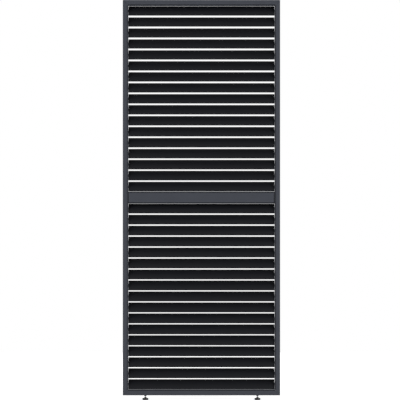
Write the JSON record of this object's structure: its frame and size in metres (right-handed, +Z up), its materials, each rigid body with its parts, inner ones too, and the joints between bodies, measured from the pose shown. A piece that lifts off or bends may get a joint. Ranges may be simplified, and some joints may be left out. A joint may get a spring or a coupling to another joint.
{
  "type": "louvred privacy screen",
  "caption": "Tall slim framed privacy screen with upper and lower fields of linked, tilting louvre blades, held at its sides and levelled by two screw feet.",
  "frame": {"origin": "on the floor under the middle of the screen, midway between the two foot pads", "axes": "+Z up along the screen's height, +X to the right seen from the front, +Y from the front face to the back face"},
  "size_m": [0.9, 0.05, 2.291],
  "materials": {
    "frame_coat": "satin",
    "blade_coat": "satin",
    "mill_aluminium": "satin",
    "black_nylon": "matte",
    "black_rubber": "matte",
    "foot_plastic": "gloss",
    "zinc_plate": "satin",
    "black_zinc": "satin"
  },
  "bodies": {
    "frame": {"left_stile": "frame_coat", "right_stile": "frame_coat", "top_rail": "frame_coat", "mid_rail": "frame_coat", "bottom_rail": "frame_coat", "top_left_corner_cleat": "mill_aluminium", "top_right_corner_cleat": "mill_aluminium", "bottom_left_corner_cleat": "mill_aluminium", "bottom_right_corner_cleat": "mill_aluminium", "left_end_pad": "black_rubber", "right_end_pad": "black_rubber", "left_t_bracket": "mill_aluminium", "right_t_bracket": "mill_aluminium", "upper_left_bearing_strip": "black_nylon", "upper_right_bearing_strip": "black_nylon", "lower_left_bearing_strip": "black_nylon", "lower_right_bearing_strip": "black_nylon", "left_foot_nut": "black_zinc", "right_foot_nut": "black_zinc"},
    "upper_blade_01": {"upper_blade_01": "blade_coat"},
    "upper_blade_02": {"upper_blade_02": "blade_coat"},
    "upper_blade_03": {"upper_blade_03": "blade_coat"},
    "upper_blade_04": {"upper_blade_04": "blade_coat"},
    "upper_blade_05": {"upper_blade_05": "blade_coat"},
    "upper_blade_06": {"upper_blade_06": "blade_coat"},
    "upper_blade_07": {"upper_blade_07": "blade_coat"},
    "upper_blade_08": {"upper_blade_08": "blade_coat"},
    "upper_blade_09": {"upper_blade_09": "blade_coat"},
    "upper_blade_10": {"upper_blade_10": "blade_coat"},
    "upper_blade_11": {"upper_blade_11": "blade_coat"},
    "upper_blade_12": {"upper_blade_12": "blade_coat"},
    "upper_blade_13": {"upper_blade_13": "blade_coat"},
    "upper_blade_14": {"upper_blade_14": "blade_coat"},
    "upper_blade_15": {"upper_blade_15": "blade_coat"},
    "upper_blade_16": {"upper_blade_16": "blade_coat"},
    "upper_blade_17": {"upper_blade_17": "blade_coat"},
    "upper_link_rod": {"upper_link_rod": "mill_aluminium"},
    "lower_blade_01": {"lower_blade_01": "blade_coat"},
    "lower_blade_02": {"lower_blade_02": "blade_coat"},
    "lower_blade_03": {"lower_blade_03": "blade_coat"},
    "lower_blade_04": {"lower_blade_04": "blade_coat"},
    "lower_blade_05": {"lower_blade_05": "blade_coat"},
    "lower_blade_06": {"lower_blade_06": "blade_coat"},
    "lower_blade_07": {"lower_blade_07": "blade_coat"},
    "lower_blade_08": {"lower_blade_08": "blade_coat"},
    "lower_blade_09": {"lower_blade_09": "blade_coat"},
    "lower_blade_10": {"lower_blade_10": "blade_coat"},
    "lower_blade_11": {"lower_blade_11": "blade_coat"},
    "lower_blade_12": {"lower_blade_12": "blade_coat"},
    "lower_blade_13": {"lower_blade_13": "blade_coat"},
    "lower_blade_14": {"lower_blade_14": "blade_coat"},
    "lower_blade_15": {"lower_blade_15": "blade_coat"},
    "lower_blade_16": {"lower_blade_16": "blade_coat"},
    "lower_blade_17": {"lower_blade_17": "blade_coat"},
    "lower_link_rod": {"lower_link_rod": "mill_aluminium"},
    "left_foot_pad": {"left_foot_pad": "foot_plastic"},
    "left_foot_stem": {"left_foot_stem": "zinc_plate"},
    "right_foot_pad": {"right_foot_pad": "foot_plastic"},
    "right_foot_stem": {"right_foot_stem": "zinc_plate"}
  },
  "joints": [
    {"name": "upper_louvre_tilt", "type": "hinge", "parent": "frame", "child": "upper_blade_01", "pos_m": [0, 0, 2.2284], "axis": [-1, 0, 0], "range_deg": [-1.5, 53.5]},
    {"name": "upper_blade_02_tilt", "type": "hinge", "parent": "frame", "child": "upper_blade_02", "pos_m": [0, 0, 2.16554], "axis": [-1, 0, 0], "range_deg": [-1.5, 53.5]},
    {"name": "upper_blade_03_tilt", "type": "hinge", "parent": "frame", "child": "upper_blade_03", "pos_m": [0, 0, 2.10268], "axis": [-1, 0, 0], "range_deg": [-1.5, 53.5]},
    {"name": "upper_blade_04_tilt", "type": "hinge", "parent": "frame", "child": "upper_blade_04", "pos_m": [0, 0, 2.03981], "axis": [-1, 0, 0], "range_deg": [-1.5, 53.5]},
    {"name": "upper_blade_05_tilt", "type": "hinge", "parent": "frame", "child": "upper_blade_05", "pos_m": [0, 0, 1.97695], "axis": [-1, 0, 0], "range_deg": [-1.5, 53.5]},
    {"name": "upper_blade_06_tilt", "type": "hinge", "parent": "frame", "child": "upper_blade_06", "pos_m": [0, 0, 1.91409], "axis": [-1, 0, 0], "range_deg": [-1.5, 53.5]},
    {"name": "upper_blade_07_tilt", "type": "hinge", "parent": "frame", "child": "upper_blade_07", "pos_m": [0, 0, 1.85122], "axis": [-1, 0, 0], "range_deg": [-1.5, 53.5]},
    {"name": "upper_blade_08_tilt", "type": "hinge", "parent": "frame", "child": "upper_blade_08", "pos_m": [0, 0, 1.78836], "axis": [-1, 0, 0], "range_deg": [-1.5, 53.5]},
    {"name": "upper_blade_09_tilt", "type": "hinge", "parent": "frame", "child": "upper_blade_09", "pos_m": [0, 0, 1.7255], "axis": [-1, 0, 0], "range_deg": [-1.5, 53.5]},
    {"name": "upper_blade_10_tilt", "type": "hinge", "parent": "frame", "child": "upper_blade_10", "pos_m": [0, 0, 1.66264], "axis": [-1, 0, 0], "range_deg": [-1.5, 53.5]},
    {"name": "upper_blade_11_tilt", "type": "hinge", "parent": "frame", "child": "upper_blade_11", "pos_m": [0, 0, 1.59977], "axis": [-1, 0, 0], "range_deg": [-1.5, 53.5]},
    {"name": "upper_blade_12_tilt", "type": "hinge", "parent": "frame", "child": "upper_blade_12", "pos_m": [0, 0, 1.53691], "axis": [-1, 0, 0], "range_deg": [-1.5, 53.5]},
    {"name": "upper_blade_13_tilt", "type": "hinge", "parent": "frame", "child": "upper_blade_13", "pos_m": [0, 0, 1.47405], "axis": [-1, 0, 0], "range_deg": [-1.5, 53.5]},
    {"name": "upper_blade_14_tilt", "type": "hinge", "parent": "frame", "child": "upper_blade_14", "pos_m": [0, 0, 1.41119], "axis": [-1, 0, 0], "range_deg": [-1.5, 53.5]},
    {"name": "upper_blade_15_tilt", "type": "hinge", "parent": "frame", "child": "upper_blade_15", "pos_m": [0, 0, 1.34832], "axis": [-1, 0, 0], "range_deg": [-1.5, 53.5]},
    {"name": "upper_blade_16_tilt", "type": "hinge", "parent": "frame", "child": "upper_blade_16", "pos_m": [0, 0, 1.28546], "axis": [-1, 0, 0], "range_deg": [-1.5, 53.5]},
    {"name": "upper_blade_17_tilt", "type": "hinge", "parent": "frame", "child": "upper_blade_17", "pos_m": [0, 0, 1.2226], "axis": [-1, 0, 0], "range_deg": [-1.5, 53.5]},
    {"name": "upper_link_rod_pin", "type": "hinge", "parent": "upper_blade_01", "child": "upper_link_rod", "pos_m": [0.4293, 0.01258, 2.23454], "axis": [-1, 0, 0], "range_deg": [-53.5, 1.5]},
    {"name": "lower_louvre_tilt", "type": "hinge", "parent": "frame", "child": "lower_blade_01", "pos_m": [0, 0, 1.0964], "axis": [-1, 0, 0], "range_deg": [-1.5, 53.5]},
    {"name": "lower_blade_02_tilt", "type": "hinge", "parent": "frame", "child": "lower_blade_02", "pos_m": [0, 0, 1.03354], "axis": [-1, 0, 0], "range_deg": [-1.5, 53.5]},
    {"name": "lower_blade_03_tilt", "type": "hinge", "parent": "frame", "child": "lower_blade_03", "pos_m": [0, 0, 0.97067], "axis": [-1, 0, 0], "range_deg": [-1.5, 53.5]},
    {"name": "lower_blade_04_tilt", "type": "hinge", "parent": "frame", "child": "lower_blade_04", "pos_m": [0, 0, 0.90781], "axis": [-1, 0, 0], "range_deg": [-1.5, 53.5]},
    {"name": "lower_blade_05_tilt", "type": "hinge", "parent": "frame", "child": "lower_blade_05", "pos_m": [0, 0, 0.84495], "axis": [-1, 0, 0], "range_deg": [-1.5, 53.5]},
    {"name": "lower_blade_06_tilt", "type": "hinge", "parent": "frame", "child": "lower_blade_06", "pos_m": [0, 0, 0.78209], "axis": [-1, 0, 0], "range_deg": [-1.5, 53.5]},
    {"name": "lower_blade_07_tilt", "type": "hinge", "parent": "frame", "child": "lower_blade_07", "pos_m": [0, 0, 0.71923], "axis": [-1, 0, 0], "range_deg": [-1.5, 53.5]},
    {"name": "lower_blade_08_tilt", "type": "hinge", "parent": "frame", "child": "lower_blade_08", "pos_m": [0, 0, 0.65636], "axis": [-1, 0, 0], "range_deg": [-1.5, 53.5]},
    {"name": "lower_blade_09_tilt", "type": "hinge", "parent": "frame", "child": "lower_blade_09", "pos_m": [0, 0, 0.5935], "axis": [-1, 0, 0], "range_deg": [-1.5, 53.5]},
    {"name": "lower_blade_10_tilt", "type": "hinge", "parent": "frame", "child": "lower_blade_10", "pos_m": [0, 0, 0.53064], "axis": [-1, 0, 0], "range_deg": [-1.5, 53.5]},
    {"name": "lower_blade_11_tilt", "type": "hinge", "parent": "frame", "child": "lower_blade_11", "pos_m": [0, 0, 0.46777], "axis": [-1, 0, 0], "range_deg": [-1.5, 53.5]},
    {"name": "lower_blade_12_tilt", "type": "hinge", "parent": "frame", "child": "lower_blade_12", "pos_m": [0, 0, 0.40491], "axis": [-1, 0, 0], "range_deg": [-1.5, 53.5]},
    {"name": "lower_blade_13_tilt", "type": "hinge", "parent": "frame", "child": "lower_blade_13", "pos_m": [0, 0, 0.34205], "axis": [-1, 0, 0], "range_deg": [-1.5, 53.5]},
    {"name": "lower_blade_14_tilt", "type": "hinge", "parent": "frame", "child": "lower_blade_14", "pos_m": [0, 0, 0.27919], "axis": [-1, 0, 0], "range_deg": [-1.5, 53.5]},
    {"name": "lower_blade_15_tilt", "type": "hinge", "parent": "frame", "child": "lower_blade_15", "pos_m": [0, 0, 0.21632], "axis": [-1, 0, 0], "range_deg": [-1.5, 53.5]},
    {"name": "lower_blade_16_tilt", "type": "hinge", "parent": "frame", "child": "lower_blade_16", "pos_m": [0, 0, 0.15346], "axis": [-1, 0, 0], "range_deg": [-1.5, 53.5]},
    {"name": "lower_blade_17_tilt", "type": "hinge", "parent": "frame", "child": "lower_blade_17", "pos_m": [0, 0, 0.0906], "axis": [-1, 0, 0], "range_deg": [-1.5, 53.5]},
    {"name": "lower_link_rod_pin", "type": "hinge", "parent": "lower_blade_01", "child": "lower_link_rod", "pos_m": [0.4293, 0.01258, 1.10254], "axis": [-1, 0, 0], "range_deg": [-53.5, 1.5]},
    {"name": "left_foot_height", "type": "slide", "parent": "frame", "child": "left_foot_pad", "axis": [0, 0, -1], "range_m": [-0.0045, 0.01]},
    {"name": "left_stem_turn", "type": "hinge", "parent": "left_foot_pad", "child": "left_foot_stem", "pos_m": [-0.321, 0, 0.0173], "axis": [0, 0, -1], "range_deg": [-1297, 2881]},
    {"name": "right_foot_height", "type": "slide", "parent": "frame", "child": "right_foot_pad", "axis": [0, 0, -1], "range_m": [-0.0045, 0.01]},
    {"name": "right_stem_turn", "type": "hinge", "parent": "right_foot_pad", "child": "right_foot_stem", "pos_m": [0.321, 0, 0.0173], "axis": [0, 0, -1], "range_deg": [-1297, 2881]}
  ],
  "couplings": [
    {"joint": "upper_blade_02_tilt", "follows": "upper_louvre_tilt", "ratio": 1},
    {"joint": "upper_blade_03_tilt", "follows": "upper_louvre_tilt", "ratio": 1},
    {"joint": "upper_blade_04_tilt", "follows": "upper_louvre_tilt", "ratio": 1},
    {"joint": "upper_blade_05_tilt", "follows": "upper_louvre_tilt", "ratio": 1},
    {"joint": "upper_blade_06_tilt", "follows": "upper_louvre_tilt", "ratio": 1},
    {"joint": "upper_blade_07_tilt", "follows": "upper_louvre_tilt", "ratio": 1},
    {"joint": "upper_blade_08_tilt", "follows": "upper_louvre_tilt", "ratio": 1},
    {"joint": "upper_blade_09_tilt", "follows": "upper_louvre_tilt", "ratio": 1},
    {"joint": "upper_blade_10_tilt", "follows": "upper_louvre_tilt", "ratio": 1},
    {"joint": "upper_blade_11_tilt", "follows": "upper_louvre_tilt", "ratio": 1},
    {"joint": "upper_blade_12_tilt", "follows": "upper_louvre_tilt", "ratio": 1},
    {"joint": "upper_blade_13_tilt", "follows": "upper_louvre_tilt", "ratio": 1},
    {"joint": "upper_blade_14_tilt", "follows": "upper_louvre_tilt", "ratio": 1},
    {"joint": "upper_blade_15_tilt", "follows": "upper_louvre_tilt", "ratio": 1},
    {"joint": "upper_blade_16_tilt", "follows": "upper_louvre_tilt", "ratio": 1},
    {"joint": "upper_blade_17_tilt", "follows": "upper_louvre_tilt", "ratio": 1},
    {"joint": "upper_link_rod_pin", "follows": "upper_louvre_tilt", "ratio": -1},
    {"joint": "lower_blade_02_tilt", "follows": "lower_louvre_tilt", "ratio": 1},
    {"joint": "lower_blade_03_tilt", "follows": "lower_louvre_tilt", "ratio": 1},
    {"joint": "lower_blade_04_tilt", "follows": "lower_louvre_tilt", "ratio": 1},
    {"joint": "lower_blade_05_tilt", "follows": "lower_louvre_tilt", "ratio": 1},
    {"joint": "lower_blade_06_tilt", "follows": "lower_louvre_tilt", "ratio": 1},
    {"joint": "lower_blade_07_tilt", "follows": "lower_louvre_tilt", "ratio": 1},
    {"joint": "lower_blade_08_tilt", "follows": "lower_louvre_tilt", "ratio": 1},
    {"joint": "lower_blade_09_tilt", "follows": "lower_louvre_tilt", "ratio": 1},
    {"joint": "lower_blade_10_tilt", "follows": "lower_louvre_tilt", "ratio": 1},
    {"joint": "lower_blade_11_tilt", "follows": "lower_louvre_tilt", "ratio": 1},
    {"joint": "lower_blade_12_tilt", "follows": "lower_louvre_tilt", "ratio": 1},
    {"joint": "lower_blade_13_tilt", "follows": "lower_louvre_tilt", "ratio": 1},
    {"joint": "lower_blade_14_tilt", "follows": "lower_louvre_tilt", "ratio": 1},
    {"joint": "lower_blade_15_tilt", "follows": "lower_louvre_tilt", "ratio": 1},
    {"joint": "lower_blade_16_tilt", "follows": "lower_louvre_tilt", "ratio": 1},
    {"joint": "lower_blade_17_tilt", "follows": "lower_louvre_tilt", "ratio": 1},
    {"joint": "lower_link_rod_pin", "follows": "lower_louvre_tilt", "ratio": -1},
    {"joint": "left_stem_turn", "follows": "left_foot_height", "rad_per_m": 5026.5},
    {"joint": "right_stem_turn", "follows": "right_foot_height", "rad_per_m": 5026.5}
  ]
}
